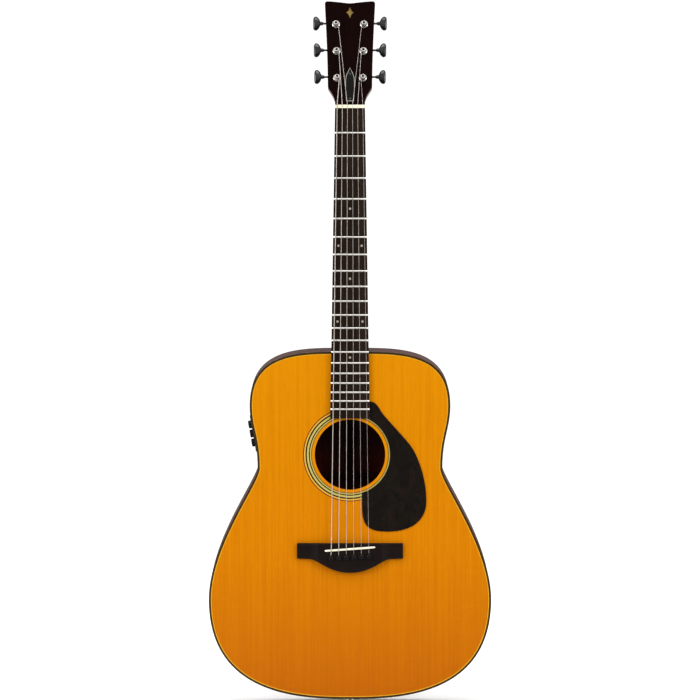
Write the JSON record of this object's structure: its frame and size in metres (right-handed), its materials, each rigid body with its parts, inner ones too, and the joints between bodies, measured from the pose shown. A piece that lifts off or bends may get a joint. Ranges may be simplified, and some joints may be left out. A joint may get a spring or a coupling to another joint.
{
  "type": "acoustic_guitar",
  "caption": "Steel-string acoustic guitar: waisted hollow body with soundhole and pin bridge, fretted neck, slanted headstock with geared tuning keys, and preamp knobs in the side.",
  "frame": {"origin": "The middle of the lowest plane that touches the guitar, under its strap button, halfway across its width and halfway through its depth.", "axes": "+Z runs from the tail up along the neck, +X points to the player's treble side (right when the soundboard is faced), and -Y points out of the soundboard towards the viewer."},
  "size_m": [0.4156, 0.1315, 1.0379],
  "materials": {
    "amber_top": "gloss amber-tinted spruce with fine straight grain",
    "body_wood": "gloss dark red-brown mahogany-like wood",
    "neck_wood": "satin dark brown wood",
    "head_gloss": "gloss black-lacquered veneer",
    "board_wood": "satin near-black rosewood-like wood",
    "inner_wood": "bare light wood",
    "binding": "gloss dark brown strip",
    "inlay": "gloss rings of amber, cream and brown",
    "guard": "gloss near-black with faint brown mottling",
    "ivory": "polished ivory white",
    "black_gloss": "gloss black",
    "black_matte": "fine matte black",
    "nickel": "polished nickel plate",
    "rod_steel": "plain steel rod",
    "string_metal": "plain and bronze-wound steel wire"
  },
  "bodies": {
    "guitar": {"soundboard": "amber_top", "rosette": "inlay", "pickguard": "guard", "back_plate": "body_wood", "side_bass": "body_wood", "side_treble": "body_wood", "top_binding": "binding", "back_binding": "binding", "neck_block": "inner_wood", "tail_block": "inner_wood", "top_lining_bass": "inner_wood", "top_lining_treble": "inner_wood", "back_lining_bass": "inner_wood", "back_lining_treble": "inner_wood", "x_brace": "inner_wood", "upper_brace": "inner_wood", "back_bracing": "inner_wood", "bridge": "board_wood", "saddle": "ivory", "bridge_pin_1": "black_gloss", "bridge_pin_2": "black_gloss", "bridge_pin_3": "black_gloss", "bridge_pin_4": "black_gloss", "bridge_pin_5": "black_gloss", "bridge_pin_6": "black_gloss", "neck": "neck_wood", "fingerboard": "board_wood", "nut": "ivory", "truss_rod": "rod_steel", "truss_rod_cover": "black_gloss", "headstock_overlay": "head_gloss", "string_1": "string_metal", "string_2": "string_metal", "string_3": "string_metal", "string_4": "string_metal", "string_5": "string_metal", "string_6": "string_metal", "preamp": "black_matte", "endpin_jack": "nickel", "tuner_base_1": "nickel", "tuner_base_2": "nickel", "tuner_base_3": "nickel", "tuner_base_4": "nickel", "tuner_base_5": "nickel", "tuner_base_6": "nickel"},
    "key_1": {"tuner_key_1": "nickel"},
    "post_1": {"string_post_1": "nickel"},
    "key_2": {"tuner_key_2": "nickel"},
    "post_2": {"string_post_2": "nickel"},
    "key_3": {"tuner_key_3": "nickel"},
    "post_3": {"string_post_3": "nickel"},
    "key_4": {"tuner_key_4": "nickel"},
    "post_4": {"string_post_4": "nickel"},
    "key_5": {"tuner_key_5": "nickel"},
    "post_5": {"string_post_5": "nickel"},
    "key_6": {"tuner_key_6": "nickel"},
    "post_6": {"string_post_6": "nickel"},
    "knob_1": {"preamp_knob_1": "black_gloss"},
    "knob_2": {"preamp_knob_2": "black_gloss"},
    "knob_3": {"preamp_knob_3": "black_gloss"}
  },
  "joints": [
    {"name": "key_1_spin", "type": "hinge", "parent": "guitar", "child": "key_1", "pos_m": [-0.0188, -0.02343, 0.92678], "axis": [1, 0, 0], "continuous": true},
    {"name": "post_1_spin", "type": "hinge", "parent": "guitar", "child": "post_1", "pos_m": [-0.0188, -0.04503, 0.92599], "axis": [0, -0.9703, 0.2419], "continuous": true},
    {"name": "key_2_spin", "type": "hinge", "parent": "guitar", "child": "key_2", "pos_m": [-0.0196, -0.01368, 0.96589], "axis": [1, 0, 0], "continuous": true},
    {"name": "post_2_spin", "type": "hinge", "parent": "guitar", "child": "post_2", "pos_m": [-0.0196, -0.03529, 0.96509], "axis": [0, -0.9703, 0.2419], "continuous": true},
    {"name": "key_3_spin", "type": "hinge", "parent": "guitar", "child": "key_3", "pos_m": [-0.0205, -0.00393, 1.00499], "axis": [1, 0, 0], "continuous": true},
    {"name": "post_3_spin", "type": "hinge", "parent": "guitar", "child": "post_3", "pos_m": [-0.0205, -0.02554, 1.00419], "axis": [0, -0.9703, 0.2419], "continuous": true},
    {"name": "key_4_spin", "type": "hinge", "parent": "guitar", "child": "key_4", "pos_m": [0.0205, -0.00393, 1.00499], "axis": [1, 0, 0], "continuous": true},
    {"name": "post_4_spin", "type": "hinge", "parent": "guitar", "child": "post_4", "pos_m": [0.0205, -0.02554, 1.00419], "axis": [0, -0.9703, 0.2419], "continuous": true},
    {"name": "key_5_spin", "type": "hinge", "parent": "guitar", "child": "key_5", "pos_m": [0.0196, -0.01368, 0.96589], "axis": [1, 0, 0], "continuous": true},
    {"name": "post_5_spin", "type": "hinge", "parent": "guitar", "child": "post_5", "pos_m": [0.0196, -0.03529, 0.96509], "axis": [0, -0.9703, 0.2419], "continuous": true},
    {"name": "key_6_spin", "type": "hinge", "parent": "guitar", "child": "key_6", "pos_m": [0.0188, -0.02343, 0.92678], "axis": [1, 0, 0], "continuous": true},
    {"name": "post_6_spin", "type": "hinge", "parent": "guitar", "child": "post_6", "pos_m": [0.0188, -0.04503, 0.92599], "axis": [0, -0.9703, 0.2419], "continuous": true},
    {"name": "knob_1_turn", "type": "hinge", "parent": "guitar", "child": "knob_1", "pos_m": [-0.14113, -0.00829, 0.38777], "axis": [-0.9852, 0, -0.1715], "range_deg": [-150, 150]},
    {"name": "knob_2_turn", "type": "hinge", "parent": "guitar", "child": "knob_2", "pos_m": [-0.14346, -0.00829, 0.40116], "axis": [-0.9852, 0, -0.1715], "range_deg": [-150, 150]},
    {"name": "knob_3_turn", "type": "hinge", "parent": "guitar", "child": "knob_3", "pos_m": [-0.14579, -0.00829, 0.41456], "axis": [-0.9852, 0, -0.1715], "range_deg": [-150, 150]}
  ],
  "couplings": [
    {"joint": "post_1_spin", "follows": "key_1_spin", "ratio": 0.066667},
    {"joint": "post_2_spin", "follows": "key_2_spin", "ratio": 0.066667},
    {"joint": "post_3_spin", "follows": "key_3_spin", "ratio": 0.066667},
    {"joint": "post_4_spin", "follows": "key_4_spin", "ratio": 0.066667},
    {"joint": "post_5_spin", "follows": "key_5_spin", "ratio": 0.066667},
    {"joint": "post_6_spin", "follows": "key_6_spin", "ratio": 0.066667}
  ]
}
